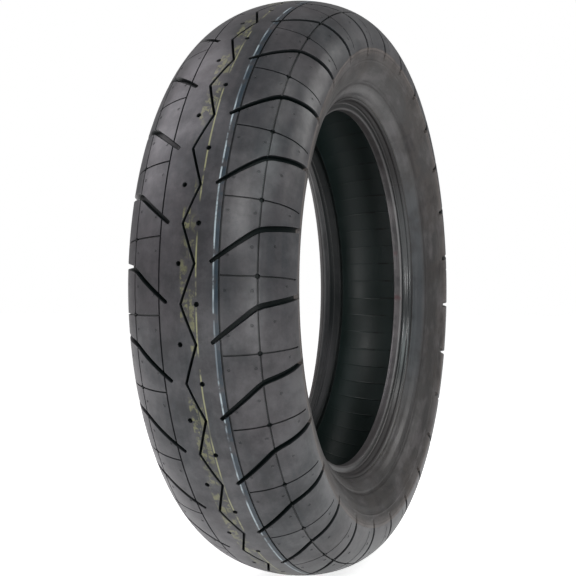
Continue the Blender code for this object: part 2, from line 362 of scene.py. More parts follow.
def new_object(name, points, faces, smooth_angle=SHARP):
    mesh = bpy.data.meshes.new(name)
    mesh.from_pydata(points, [], faces.tolist())
    mesh.validate()
    mesh.shade_smooth()
    mesh.set_sharp_from_angle(angle=smooth_angle)
    return placed(name, mesh)


def even_turns(count):
    return np.arange(count) * 2 * pi / count + PATTERN_TURN


def turned(rows, turns):
    """Points in space of rows of (y, r), one row for each turn."""
    y, r = rows[..., 0], rows[..., 1]
    turn = np.asarray(turns)[:, None]
    return np.stack([r * np.cos(turn), y, r * np.sin(turn)], -1).reshape(-1, 3)


def ring_points(outline, turns, lift=None):
    """Points of the outline turned round the axis, and lifted off it by a table of lifts."""
    outline = np.array(outline, float)
    rows = np.repeat(outline[None], len(turns), axis=0)
    if lift is not None:
        ahead = np.roll(outline, -1, 0) - np.roll(outline, 1, 0)
        length = np.maximum(np.hypot(ahead[:, 0], ahead[:, 1]), 1e-9)
        normal = np.stack([ahead[:, 1] / length, -ahead[:, 0] / length], 1)
        rows = rows + normal[None] * lift[:, :, None]
    return turned(rows, turns)


def ring_faces(turns, count, closed_outline=True):
    """Quads over a grid of turns by outline points, facing out of an anticlockwise outline."""
    here = np.arange(turns * count).reshape(turns, count)
    there = np.roll(here, -1, 0)
    faces = np.stack([here, there, np.roll(there, -1, 1), np.roll(here, -1, 1)], -1)
    return (faces if closed_outline else faces[:, :-1]).reshape(-1, 4)


def area_of(outline):
    """Twice the area inside an outline, negative if it runs clockwise."""
    y, r = np.array(outline).T
    return float(np.sum(y * np.roll(r, -1) - np.roll(y, -1) * r))


def anticlockwise(outline):
    return outline if area_of(outline) > 0 else outline[::-1]


def ring(name, outline, turns, lift=None):
    """A closed ring. lift is a table of turns by outline points, for the outline as given."""
    ordered = anticlockwise(outline)
    if lift is not None and ordered is not outline:
        lift = lift[:, ::-1]
    points = ring_points(ordered, turns, lift)
    return new_object(name, points, ring_faces(len(turns), len(ordered)))


def dressed(obj, material, slot, *nodes):
    """Gives a piece its material and stands it in for its CAD nodes; slot is not used."""
    obj.data.materials.clear()
    obj.data.materials.append(material)
    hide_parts(*nodes)
    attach(obj, "root")


def pair(name, outline, turns, material, slot, node):
    """The left ring and its mirror image on the right, each standing in for its own CAD node."""
    for side, path in (("_left", outline), ("_right", mirrored(outline))):
        dressed(ring(name + side, path, turns), material, slot, node + side)


# ---------------- tread pattern

ZIGZAG_WIDTH = 0.0032
ZIGZAG_THROW = arc_of(0.022)
ZIGZAG_DEPTH = 0.0056
GROOVE_START, GROOVE_KINK, GROOVE_END = arc_of(0.067), arc_of(0.2055), arc_of(0.38)
GROOVE_LAGS = (0.01, 0.454, 0.583)
GROOVE_DEPTH = 0.0055
# Along the groove: (share of its length, width)
GROOVE_WIDTHS = (
    (0.0, 0.0044), (0.1, 0.0052), (0.45, 0.0062), (0.6, 0.0068), (0.85, 0.007), (1.0, 0.0058),
)
GROOVE_BEND = 0.007
GROOVE_CAP = 0.0016
GROOVE_STEP = 0.0028
CAP_SHARES = (0.0, 0.08, 0.3, 0.65)
# Across the tread: (arc from the groove's start, or to its end, and share of its depth)
GROOVE_RISE = ((0.0, 0.75), (0.008, 1.0))
GROOVE_FALL = ((GROOVE_KINK + 0.02, 1.0), (TREAD_EDGE - 0.01, 0.82), (TREAD_EDGE, 0.74))
ZIGZAG_STEP = 0.0045
RING_ARCS = (arc_of(0.0959), arc_of(0.2055))
RING_WIDTH = 0.0018
RING_DEPTH = 0.0016
SIPE_POINTS = ((0.0959, 0.857), (0.15, 0.85), (0.2055, 0.847), (0.27, 0.838), (0.3435, 0.815))
SIPE_WIDTH = 0.0017
SIPE_DEPTH = 0.0015
SIPE_CAP = 0.0005
# Round hollows: (radius, sides, depth, wall)
DOT = (0.0026, 14, 0.003, 0.0005)
HOLE = (0.0026, 14, 0.0045, 0.0005)
VENT = (0.0017, 10, 0.0005, 0.0004)
HOLE_PLACE = (0.0288, 0.5)
VENT_PLACES = (
    (0.118, 0.11), (0.112, -0.33), (0.187, 0.22), (0.255, 0.25), (0.19, 0.66), (0.3, 0.72),
)
WALL = 0.0009
LIP = 0.0003
LIP_DROP = 0.00025
THIN_WALL = 0.0003
TILE_MARGIN = 0.006
GRID_ROOM = 0.0013
WELD = 0.000004
NEAR = 1e-7


def densified(path, step):
    """The path with points added so that none are further apart than a step."""
    done = []
    for near, far in zip(path, path[1:]):
        parts = max(1, ceil(hypot(far[0] - near[0], far[1] - near[1]) / step - 1e-6))
        done += [between(near, far, i / parts) for i in range(parts)]
    return done + [path[-1]]


def blunt_groove(line, widths, cap):
    """Outline of a groove along a line, with rounded ends."""
    points = np.array(densified(line, GROOVE_STEP))
    along = lengths_along(points)
    length = along[-1]
    ends = np.array(CAP_SHARES) * cap
    keep = (along > cap) & (along < length - cap)
    places = np.concatenate([ends, [cap], along[keep], [length - cap], length - ends[::-1]])
    x = np.interp(places, along, points[:, 0])
    y = np.interp(places, along, points[:, 1])
    share, width = zip(*widths)
    half = np.interp(places / length, share, width) / 2
    near_end = np.clip(np.minimum(places, length - places) / cap, 0, 1)
    half = half * np.sqrt(1 - (1 - near_end) ** 2)
    tangent = np.stack([np.gradient(x), np.gradient(y)], 1)
    tangent /= np.hypot(*tangent.T)[:, None]
    left = np.stack([x - tangent[:, 1] * half, y + tangent[:, 0] * half], 1)
    right = np.stack([x + tangent[:, 1] * half, y - tangent[:, 0] * half], 1)
    return [tuple(p) for p in np.concatenate([left, right[-2:0:-1]])]


def lateral_groove():
    """The bent groove of the left half, from near the centre out to the shoulder."""
    start, kink, end = (
        (arc, lag * PITCH_LENGTH)
        for arc, lag in zip((GROOVE_START, GROOVE_KINK, GROOVE_END), GROOVE_LAGS)
    )
    corner = Vector(kink)
    into = corner + (Vector(start) - corner).normalized() * GROOVE_BEND
    out = corner + (Vector(end) - corner).normalized() * GROOVE_BEND
    soft = interpolate_bezier(into, into.lerp(corner, 0.6), out.lerp(corner, 0.6), out, 7)
    line = [start] + [(p.x, p.y) for p in soft] + [end]
    return blunt_groove(line, GROOVE_WIDTHS, GROOVE_CAP)


def lateral_depth(arc):
    """Depth of the bent groove: a little shallower at both ends."""
    rise = np.interp(np.abs(arc) - GROOVE_START, *zip(*GROOVE_RISE))
    fall = np.interp(np.abs(arc), *zip(*GROOVE_FALL))
    return GROOVE_DEPTH * rise * fall


def circle(centre, radius, count):
    angles = [2 * pi * i / count for i in range(count)]
    return [(centre[0] + radius * cos(a), centre[1] + radius * sin(a)) for a in angles]


def zigzag():
    """The centre groove's outline, over the tile and a pitch to each side of it."""
    corners = []
    for i in range(-2, 5):
        corners.append((ZIGZAG_THROW * (1 if i % 2 == 0 else -1), i * PITCH_LENGTH / 2))
    line = densified(corners, ZIGZAG_STEP)
    return offset(line, ZIGZAG_WIDTH / 2) + offset(line, -ZIGZAG_WIDTH / 2)[::-1]


def ring_line(arc):
    """A fine groove round the tyre, over the tile and a pitch to each side of it."""
    half = RING_WIDTH / 2
    low, high = -PITCH_LENGTH, 2 * PITCH_LENGTH
    corners = [(arc - half, low), (arc + half, low), (arc + half, high), (arc - half, high)]
    return densified(corners + corners[:1], PITCH_LENGTH / TILE_STEPS)[:-1]


def sipe():
    line = [(arc_of(arc), lag * PITCH_LENGTH) for arc, lag in SIPE_POINTS]
    return blunt_groove(line, ((0.0, SIPE_WIDTH), (1.0, SIPE_WIDTH)), SIPE_CAP)


class Feature:
    """One hollow in the tread: its rim, its depth and the run of its walls."""

    def __init__(self, rim, depth, wall, lip=0.0):
        self.rim, self.depth, self.wall, self.lip = anticlockwise(rim), depth, wall, lip

    def contours(self):
        insets = [self.lip, self.wall] if self.lip else [self.wall]
        return [self.rim] + [offset(self.rim, inset, closed=True) for inset in insets]

    def moved(self, side, run):
        """A copy on the other half of the tread, or further round, or both."""
        rim = [(arc * side, place + run) for arc, place in self.rim]
        return Feature(rim, self.depth, self.wall, self.lip)

    def depths(self, places):
        """How far below the crown this hollow takes each (arc, run)."""
        rim = np.array(self.rim)
        depth = np.zeros(len(places))
        low, high = rim.min(0), rim.max(0)
        near = np.where(((places >= low) & (places <= high)).all(1))[0]
        if not len(near):
            return depth
        points = places[near]
        ends = np.roll(rim, -1, 0)
        edge = ends - rim
        inside = np.zeros(len(points), bool)
        nearest = np.full(len(points), 1e9)
        for start, end, along in zip(rim, ends, edge):
            crosses = (start[1] > points[:, 1]) != (end[1] > points[:, 1])
            rise = along[1] if along[1] else 1e-30
            reach = start[0] + (points[:, 1] - start[1]) * along[0] / rise
            inside ^= crosses & (points[:, 0] < reach)
            share = np.clip((points - start) @ along / max(along @ along, 1e-18), 0, 1)
            gap = points - start - share[:, None] * along
            nearest = np.minimum(nearest, np.hypot(gap[:, 0], gap[:, 1]))
        full = self.depth(points[:, 0]) if callable(self.depth) else self.depth
        drop = LIP_DROP if self.lip else 0.0
        past_lip = drop + (nearest - self.lip) / (self.wall - self.lip) * (full - drop)
        fall = np.where(nearest < self.lip, nearest / max(self.lip, NEAR) * drop, past_lip)
        depth[near] = np.where(inside, np.minimum(fall, full), 0)
        return depth


def half_pattern():
    """Hollows of the left half of one pitch. The right half is the same, half a pitch on."""
    made = [Feature(lateral_groove(), lateral_depth, WALL, LIP)]
    made.append(Feature(sipe(), SIPE_DEPTH, THIN_WALL))
    holes = [(SIPE_POINTS[2], DOT), (HOLE_PLACE, HOLE)] + [(place, VENT) for place in VENT_PLACES]
    for (arc, lag), (radius, sides, depth, wall) in holes:
        centre = (arc_of(arc), lag * PITCH_LENGTH)
        made.append(Feature(circle(centre, radius, sides), depth, wall))
    return made


def tread_features():
    """Every hollow that reaches into the tile."""
    made = [Feature(zigzag(), ZIGZAG_DEPTH, WALL, LIP)]
    for arc in RING_ARCS:
        made += [Feature(ring_line(side * arc), RING_DEPTH, THIN_WALL) for side in (1, -1)]
    for hollow in half_pattern():
        for lap in (-1, 0, 1):
            made.append(hollow.moved(1, lap * PITCH_LENGTH))
            made.append(hollow.moved(-1, (lap + 0.5) * PITCH_LENGTH))
    return made


def tile_mesh():
    """One pitch of the tread as flat (arc, run) points, triangles and depths."""
    features = tread_features()
    points, edges = [], []

    def add_loop(loop, closed=True):
        first = len(points)
        points.extend(loop)
        count = len(loop)
        for i in range(count if closed else count - 1):
            edges.append((first + i, first + (i + 1) % count))

    for feature in features:
        for loop in feature.contours():
            runs = [run for _, run in loop]
            if max(runs) > -TILE_MARGIN and min(runs) < PITCH_LENGTH + TILE_MARGIN:
                add_loop(loop)
    rows = 2 * ceil(TREAD_EDGE / TILE_ARC_STEP)
    arcs = np.linspace(-TREAD_EDGE, TREAD_EDGE, rows + 1)
    runs = np.linspace(0, PITCH_LENGTH, TILE_STEPS + 1)
    grid = np.array([(arc, run) for arc in arcs for run in runs])
    contour = np.array(points)
    room = np.array([np.hypot(*(contour - place).T).min() for place in grid])
    on_edge = np.isclose(np.abs(grid[:, 0]), TREAD_EDGE)
    on_start = np.isclose(grid[:, 1], 0)
    on_end = np.isclose(grid[:, 1], PITCH_LENGTH)
    clear = (room > GRID_ROOM) | on_edge
    right, left = on_edge & (grid[:, 0] < 0), on_edge & (grid[:, 0] > 0)
    for border in (on_start & clear, on_end & clear, right, left):
        add_loop(grid[border].tolist(), closed=False)
    points += grid[clear & ~(on_edge | on_start | on_end)].tolist()
    flat = [Vector(point) for point in points]
    flat, _, faces = delaunay_2d_cdt(flat, edges, [], 0, NEAR, False)[:3]
    flat, faces = np.array(flat), np.array(faces)
    middle = flat[faces].mean(1)
    inside = (np.abs(middle[:, 0]) < TREAD_EDGE) & (middle[:, 1] > 0) & (middle[:, 1] < PITCH_LENGTH)
    used, faces = np.unique(faces[inside], return_inverse=True)
    flat = flat[used]
    depth = np.max([feature.depths(flat) for feature in features], axis=0)
    return flat, faces.reshape(-1, 3), depth


def store(mesh, name, values):
    attribute = mesh.attributes.new(name, "FLOAT", "POINT")
    attribute.data.foreach_set("value", np.asarray(values, np.float32))


def tread_underside():
    """(y, r) from inside the left edge of the tread, under it and up to inside the right edge."""
    under = whole_level(CAP, BASE_END)
    edge = (spot(CAP_AT_EDGE, SHOULDER)[0], crown_point(pi / 2, 0)[1])
    return [edge] + under[::-1] + mirrored([edge])


def strip(near, far, near_turns, far_turns):
    """Triangles between two rings of points, whose turns need not match."""
    ahead = sorted([*zip(near_turns, [0] * len(near), near), *zip(far_turns, [1] * len(far), far)])
    last = [max(zip(near_turns, near))[1], max(zip(far_turns, far))[1]]
    faces = []
    for _, side, point in ahead:
        faces.append((last[side], point, last[1 - side]))
        last[side] = point
    return faces


def make_tread(material):
    """The tread: the tile repeated round the crown, closed by strips to its underside."""
    flat, faces, depth = tile_mesh()
    laps = range(PITCHES)
    turns = [PATTERN_TURN + lap * PITCH + flat[:, 1] / CROWN_RADIUS for lap in laps]
    turns = np.concatenate(turns)
    arcs, runs = np.tile(flat, (PITCHES, 1)).T
    depths = np.tile(depth, PITCHES)
    y, r = crown_place(arcs, depths)
    points = np.stack([r * np.cos(turns), y, r * np.sin(turns)], 1)
    faces = np.concatenate([faces + lap * len(flat) for lap in laps]).tolist()
    under = tread_underside()
    under_turns = even_turns(TURNS)
    below = ring_points(under, under_turns)
    first = len(points)
    faces += (ring_faces(TURNS, len(under), closed_outline=False) + first).tolist()
    for edge, column in ((TREAD_EDGE, 0), (-TREAD_EDGE, len(under) - 1)):
        rim = np.where(np.isclose(arcs, edge, atol=NEAR) & (runs < PITCH_LENGTH - NEAR))[0]
        lower = first + column + np.arange(TURNS) * len(under)
        faces += strip(rim, lower, turns[rim], under_turns)

    mesh = bpy.data.meshes.new("moulded_tread")
    mesh.from_pydata(np.concatenate([points, below]), [], faces)
    store(mesh, "arc", np.concatenate([arcs, np.zeros(len(below))]))
    store(mesh, "depth", np.concatenate([depths / GROOVE_DEPTH, np.ones(len(below))]))
    bm = bmesh.new()
    bm.from_mesh(mesh)
    bmesh.ops.remove_doubles(bm, verts=bm.verts, dist=WELD)
    bmesh.ops.recalc_face_normals(bm, faces=bm.faces)
    bm.to_mesh(mesh)
    bm.free()
    mesh.shade_smooth()
    mesh.set_sharp_from_angle(angle=TREAD_SHARP)
    dressed(placed("moulded_tread", mesh), material, "tread_rubber", "tread_cap")


# ---------------- materials

class Nodes:
    """Makes the nodes of one tree."""

    def __init__(self, tree):
        self.tree = tree

    def plug(self, made, sockets):
        """Gives a node's inputs their values or links. A tuple is a colour."""
        for key, value in sockets.items():
            if isinstance(value, bpy.types.NodeSocket):
                self.tree.links.new(value, made.inputs[key])
            elif value is not None:
                made.inputs[key].default_value = (*value, 1) if isinstance(value, tuple) else value

    def node(self, kind, sockets, **settings):
        made = self.tree.nodes.new(kind)
        for key, value in settings.items():
            setattr(made, key, value)
        self.plug(made, sockets)
        return made

    def math(self, operation, first, second=0.0):
        return self.node("ShaderNodeMath", {0: first, 1: second}, operation=operation).outputs[0]

    def times(self, first, *others):
        for other in others:
            first = self.math("MULTIPLY", first, other)
        return first

    def ramp(self, value, low, high, to_low=0.0, to_high=1.0):
        """The value eased from one range into another."""
        sockets = {0: value, 1: low, 2: high, 3: to_low, 4: to_high}
        return self.node("ShaderNodeMapRange", sockets, interpolation_type="SMOOTHSTEP").outputs[0]

    def band(self, value, centre, half, soft):
        """1 within half a width of the centre, falling to 0 over a soft edge."""
        distance = self.math("ABSOLUTE", self.math("SUBTRACT", value, centre))
        return self.ramp(distance, half - soft, half + soft, 1, 0)

    def by_ray(self, given, seen):
        """A strength that lights the tyre, and another for what the camera sees directly."""
        direct = self.node("ShaderNodeLightPath", {}).outputs["Is Camera Ray"]
        return self.ramp(direct, 0.0, 1.0, given, seen)


class Paint(Nodes):
    """A material in the making: its nodes, the places they read and its colour so far."""

    def __init__(self, name, plain):
        self.material = bpy.data.materials.new(name)
        self.material.use_nodes = True
        self.material.diffuse_color = (*plain, 1.0)
        super().__init__(self.material.node_tree)
        self.shader = self.tree.nodes["Principled BSDF"]
        self.where = self.node("ShaderNodeTexCoord", {}).outputs["Object"]
        parts = self.node("ShaderNodeSeparateXYZ", {0: self.where}).outputs
        self.forward, self.across, self.up = parts

    def radius(self):
        """Distance out from the spin axis."""
        flat = self.node("ShaderNodeCombineXYZ", {0: self.forward, 2: self.up}).outputs[0]
        return self.node("ShaderNodeVectorMath", {0: flat}, operation="LENGTH").outputs["Value"]

    def turn(self):
        """Angle round the spin axis from the way forward."""
        return self.math("ARCTAN2", self.up, self.forward)

    def stored(self, name):
        return self.node("ShaderNodeAttribute", {}, attribute_name=name).outputs["Fac"]

    def noise(self, scale, detail, roughness=0.6, where=None):
        where = self.where if where is None else where
        sockets = {"Vector": where, "Scale": scale, "Detail": detail, "Roughness": roughness}
        return self.node("ShaderNodeTexNoise", sockets).outputs["Fac"]

    def drawn_noise(self, value, across_scale, round_scale, detail):
        """Noise that changes fast with a value and slowly round the tyre, without a seam."""
        sockets = {
            0: self.times(self.forward, round_scale),
            1: self.times(value, across_scale),
            2: self.times(self.up, round_scale),
        }
        drawn = self.node("ShaderNodeCombineXYZ", sockets).outputs[0]
        return self.noise(1.0, detail, where=drawn)

    def bump(self, height, distance, strength, normal=None):
        sockets = {"Height": height, "Distance": distance, "Strength": strength, "Normal": normal}
        return self.node("ShaderNodeBump", sockets).outputs[0]

    def blend(self, amount, first, second):
        """Sets the colour to one between two, each a socket or a value."""
        sockets = {0: amount, 6: first, 7: second}
        self.colour = self.node("ShaderNodeMix", sockets, data_type="RGBA").outputs[2]

    def coat(self, amount, colour, strength=1.0):
        """Lays a colour over the last one, by an amount."""
        if strength != 1.0:
            amount = self.times(amount, strength)
        self.blend(amount, self.colour, colour)

    def coats(self, *rows):
        """Lays on coats: (value, its range, the coat's strength at each end of it, colour)."""
        for value, reach, strengths, colour in rows:
            self.coat(self.ramp(value, *reach, *strengths), colour)

    def lines(self, value, colour, *rows):
        """Lays on lines, each (place, half width, soft edge, strength)."""
        for place, half, soft, strength in rows:
            self.coat(self.band(value, place, half, soft), colour, strength)

    def done(self, roughness, normal=None, specular=0.5, metallic=0.0):
        """Plugs in the shader. Each value is a number or a socket."""
        sockets = {"Base Color": self.colour, "Roughness": roughness, "Normal": normal}
        self.plug(self.shader, {**sockets, "Specular IOR Level": specular, "Metallic": metallic})
        return self.material


# How rubber noise of middling contrast is read: from its darker to its lighter patches
PATCHES = (0.35, 0.65)
WIDE_PATCHES = (0.3, 0.7)
GRAIN = (0.3, 0.75)
# From the right half of the tyre (-Y), where 1 is, to the left
RIGHT_TO_LEFT = (-0.001, 0.001)

# Paint on the tread: (arc, half width, colour, strength, how much of it is gaps, speckled)
TREAD_MARKS = (
    (arc_of(0.079), 0.0007, (0.15, 0.19, 0.22), 0.65, 0.26, False),
    (arc_of(0.079), 0.0007, (0.42, 0.5, 0.53), 0.62, 0.45, False),
    (arc_of(0.0875), 0.0018, (0.008, 0.022, 0.034), 0.8, 0.26, False),
    (arc_of(0.027), 0.0007, (0.25, 0.25, 0.13), 0.8, 0.42, False),
    (arc_of(-0.011), 0.004, (0.18, 0.18, 0.08), 0.6, 0.45, True),
    (arc_of(0.013), 0.0026, (0.18, 0.18, 0.08), 0.55, 0.48, True),
)
MARK_SOFT = 0.0004
MARK_WOBBLE = 0.0022
GAP_SOFT = 0.06


def tread_material():
    """Tread rubber: mottled, with paint faded in patches on its surface and painted shade darkening
    its hollows.
    """
    mix = Paint("tread_rubber", (0.08, 0.078, 0.08))
    arc, depth = mix.stored("arc"), mix.stored("depth")
    wide = mix.noise(9, 4)
    fine = mix.noise(420, 4, 0.7)
    cloud = mix.noise(24, 5, 0.68)
    streak = mix.drawn_noise(arc, 140, 9, 3)
    mix.blend(mix.ramp(wide, *PATCHES), (0.021, 0.024, 0.028), (0.036, 0.033, 0.037))
    mix.coats(
        (streak, WIDE_PATCHES, (0, 0.45), (0.05, 0.047, 0.05)),
        (fine, GRAIN, (0, 0.25), (0.018, 0.018, 0.019)),
        (cloud, (0.5, 0.68), (0, 0.45), (0.062, 0.061, 0.066)),
        (cloud, (0.34, 0.47), (0.45, 0), (0.017, 0.019, 0.02)),
    )
    wobble = mix.times(mix.math("SUBTRACT", mix.noise(14, 2), 0.5), MARK_WOBBLE)
    line_arc = mix.math("ADD", arc, wobble)
    wear_and_highlight = mix.ramp(mix.noise(60, 3), 0.36, 0.52)
    inked = mix.times(wear_and_highlight, mix.ramp(depth, 0.02, 0.06, 1, 0))
    speckles = mix.ramp(mix.noise(170, 3), 0.44, 0.56)
    for centre, half, colour, strength, gaps, speckled in TREAD_MARKS:
        along = mix.drawn_noise(centre, 300, 18, 2)
        kept = mix.ramp(along, gaps - GAP_SOFT, gaps + GAP_SOFT)
        line = mix.band(line_arc, centre, half, MARK_SOFT)
        mix.coat(mix.times(line, inked, kept, speckles if speckled else 1), colour, strength)
    # Painted shade: the hollows are coloured darker the deeper they go.
    mix.coats(
        (depth, (0.045, 0.09), (0, 0.7), (0.008, 0.01, 0.011)),
        (depth, (0.1, 0.55), (0, 0.95), (0.004, 0.007, 0.007)),
    )
    shine = mix.ramp(cloud, 0.36, 0.64, 0.36, 0.64)
    # Specular is turned down in the hollows, along with their painted shade.
    shine = mix.times(shine, mix.ramp(depth, 0.1, 0.7, 1, 0.2))
    normal = mix.bump(wide, 0.004, 0.25, mix.bump(fine, 0.0002, 0.3))
    return mix.done(mix.ramp(wide, *WIDE_PATCHES, 0.31, 0.42), normal, shine)


DARK_BAND_DROP = 0.028


def sidewall_material():
    """Sidewall rubber: warm and mottled, with a painted blue reflection above the bead near axle
    height, a lighter top edge that is partly painted highlight, and painted shade at the right foot.
    """
    mix = Paint("sidewall_rubber", (0.07, 0.064, 0.06))
    radius = mix.radius()
    top, foot = sidewall_point(0)[1], sidewall_point(1)[1]
    wide = mix.noise(13, 4)
    fine = mix.noise(380, 4, 0.7)
    smudge = mix.noise(22, 5, 0.65)
    rings = mix.drawn_noise(radius, 150, 16, 4)
    pale = mix.drawn_noise(radius, 60, 22, 4)
    mix.blend(mix.ramp(wide, *PATCHES), (0.017, 0.016, 0.016), (0.042, 0.036, 0.033))
    mix.coats(
        (rings, (0.35, 0.7), (0, 0.6), (0.052, 0.045, 0.042)),
        (fine, GRAIN, (0, 0.25), (0.015, 0.014, 0.014)),
        # Lighter brown along the top edge: partly the band's own colour, partly a painted highlight
        # along the shoulder edge.
        (radius, (top - 0.009, top - 0.001), (0, 0.8), (0.105, 0.09, 0.083)),
    )
    # A darker band, broken up by noise, about 28 mm below the sidewall's top.
    dark_band = mix.band(radius, top - DARK_BAND_DROP, 0.012, 0.008)
    dark_band = mix.times(dark_band, mix.ramp(smudge, 0.42, 0.56))
    mix.coat(dark_band, (0.01, 0.009, 0.009), 0.85)
    mix.coats(
        (pale, (0.48, 0.66), (0, 0.6), (0.07, 0.063, 0.065)),
        (smudge, (0.32, 0.46), (0.45, 0), (0.014, 0.013, 0.014)),
    )
    near_bead = mix.ramp(radius, foot + 0.008, foot + 0.02, 1, 0)
    # Painted reflection: a blue tint above the bead near axle height.
    at_axle_height = mix.ramp(mix.math("ABSOLUTE", mix.up), 0.08, 0.19, 1, 0.2)
    painted_blue_reflection = mix.times(near_bead, mix.ramp(smudge, 0.35, 0.55, 0.45, 0.85), at_axle_height)
    mix.coat(painted_blue_reflection, (0.032, 0.037, 0.042))
    # Painted shade: the right sidewall's foot is coloured darker, and its specular is lower.
    right_foot_shade = mix.ramp(radius, foot + 0.01, foot + 0.028, 1, 0)
    right_foot_shade = mix.times(right_foot_shade, mix.ramp(mix.across, *RIGHT_TO_LEFT, 1, 0))
    mix.coat(right_foot_shade, (0.007, 0.008, 0.008), 0.8)
    mix.lines(
        radius, (0.008, 0.006, 0.006),
        (foot + 0.0165, 0.0016, 0.0016, 0.55),
        (foot, 0.001, 0.0005, 0.9),
        (top - 0.0035, 0.0006, 0.0005, 0.5),
    )
    dull = mix.ramp(wide, *WIDE_PATCHES, 0.44, 0.56)
    dull = mix.math("SUBTRACT", dull, mix.times(near_bead, 0.14))
    shine = mix.ramp(smudge, 0.36, 0.62, 0.28, 0.56)
    shine = mix.times(shine, mix.ramp(right_foot_shade, 0, 1, 1, 0.3))
    normal = mix.bump(rings, 0.0012, 0.35, mix.bump(fine, 0.0003, 0.5))
    return mix.done(dull, normal, shine)


# Places out from the bead's toe
SEAT_EDGE = (BEAD_TOE_RADIUS + 0.0022, BEAD_TOE_RADIUS + 0.0034)
FLANGE_FACE = BEAD_TOE_RADIUS + 0.0052
HEEL_LINE = BEAD_HALF_WIDTH - 0.0016
BEAD_MARKS = (radians(167), radians(-177))
BEAD_MARK_WIDTH = (radians(0.8), radians(0.7))


def bead_material():
    """Bead rubber: smooth and dark, with a painted highlight on its seat and heel near axle height,
    and painted shade at its top, on its flange face and on the right bead.
    """
    mix = Paint("bead_rubber", (0.05, 0.052, 0.052))
    radius = mix.radius()
    streaks = mix.drawn_noise(radius, 400, 40, 3)
    smudge = mix.noise(40, 4)
    height = mix.math("ABSOLUTE", mix.up)
    # This mask is 1 near axle height, where the seat and heel get a painted highlight, and 0.2 above
    # and below it; away from axle height the bead is coloured warmer and lighter.
    highlight_height = mix.ramp(height, 0.09, 0.17, 1, 0.2)
    mix.blend(mix.ramp(streaks, *WIDE_PATCHES), (0.018, 0.021, 0.022), (0.024, 0.027, 0.028))
    mix.coat(mix.math("SUBTRACT", 1, highlight_height), (0.03, 0.026, 0.026))
    # Painted shade: the bead is coloured darker towards its top, where its specular is also lower.
    upper = mix.ramp(mix.up, 0.07, 0.17)
    mix.coat(upper, (0.007, 0.006, 0.006), 0.75)
    # Painted highlight: the seat is coloured pale in patches near axle height.
    seat = mix.ramp(radius, *SEAT_EDGE, 1, 0)
    wear_and_highlight = mix.times(seat, mix.ramp(smudge, *PATCHES, 0.4, 1), highlight_height)
    mix.coat(wear_and_highlight, (0.1, 0.093, 0.095))
    # Painted highlight: a bright line along the heel near axle height.
    heel = mix.band(mix.math("ABSOLUTE", mix.across), HEEL_LINE, 0.0007, 0.0006)
    mix.coat(mix.times(heel, seat, highlight_height), (0.15, 0.15, 0.15))
    # Painted shade: the right bead is coloured darker, and its specular is lower.
    mix.coats((mix.across, RIGHT_TO_LEFT, (0.9, 0), (0.007, 0.009, 0.009)))
    # Painted shade: a dark band on the flange face and a dark line at the rim line.
    mix.lines(
        radius, (0.004, 0.005, 0.005),
        (FLANGE_FACE, 0.002, 0.0008, 0.8),
        (RIM_LINE[1], 0.0008, 0.0004, 0.9),
    )
    left_seat = mix.times(seat, mix.ramp(mix.across, 0, 0.001))
    turn = mix.turn()
    for angle in BEAD_MARKS:
        mark = mix.times(mix.band(turn, angle, *BEAD_MARK_WIDTH), left_seat)
        mark = mix.times(mark, mix.ramp(streaks, 0.4, 0.6))
        mix.coat(mark, (0.075, 0.022, 0.024), 0.6)
    shine = mix.ramp(mix.across, *RIGHT_TO_LEFT, 0.08, 0.6)
    shine = mix.times(shine, mix.ramp(upper, 0, 1, 1, 0.45))
    dull = mix.ramp(height, 0.1, 0.18, 0.23, 0.36)
    return mix.done(dull, mix.bump(smudge, 0.0015, 0.15), shine)


LINER_RIBS = 81
LINER_RIB_HEIGHT = -0.00015
LINER_RIB_WIDTH = 0.0016


def liner_material():
    """Liner rubber: dark and greenish, with painted shade low down, on the right and along its faint
    hollow lines.
    """
    mix = Paint("liner_rubber", (0.02, 0.025, 0.024))
    wide = mix.noise(10, 3)
    mix.blend(mix.ramp(wide, *PATCHES), (0.02, 0.036, 0.033), (0.033, 0.052, 0.05))
    # Painted shade: darker low down.
    mix.coats((mix.up, (-0.26, -0.08), (0.85, 0), (0.008, 0.013, 0.012)))
    # Painted shade: darker over the right half, where the specular is also lower.
    right_shade = mix.ramp(mix.across, -0.05, 0.004, 1, 0)
    mix.coat(right_shade, (0.008, 0.014, 0.013), 0.6)
    # Painted shade: the hollow rib lines are coloured dark, in patches across the middle.
    wave = mix.math("COSINE", mix.times(mix.turn(), LINER_RIBS))
    patchy = mix.ramp(mix.noise(60, 3), 0.42, 0.58)
    middle = mix.band(mix.across, 0, 0.03, 0.022)
    lines = mix.times(mix.ramp(wave, 0.93, 0.995), patchy, middle)
    mix.coat(lines, (0.003, 0.005, 0.005), 0.9)
    shine = mix.ramp(right_shade, 0, 1, 0.5, 0.25)
    normal = mix.bump(mix.noise(300, 3), 0.0003, 0.3)
    return mix.done(mix.ramp(wide, *WIDE_PATCHES, 0.32, 0.42), normal, shine)


def inner_material():
    """The plain rubber between the plies and round the bead wires."""
    mix = Paint("inner_rubber", (0.03, 0.03, 0.03))
    wide = mix.noise(20, 4)
    mix.blend(mix.ramp(wide, *PATCHES), (0.022, 0.022, 0.023), (0.04, 0.038, 0.037))
    normal = mix.bump(mix.noise(350, 3), 0.0004, 0.5)
    return mix.done(mix.ramp(wide, *WIDE_PATCHES, 0.6, 0.75), normal)


CORDS_PER_METRE = 900.0


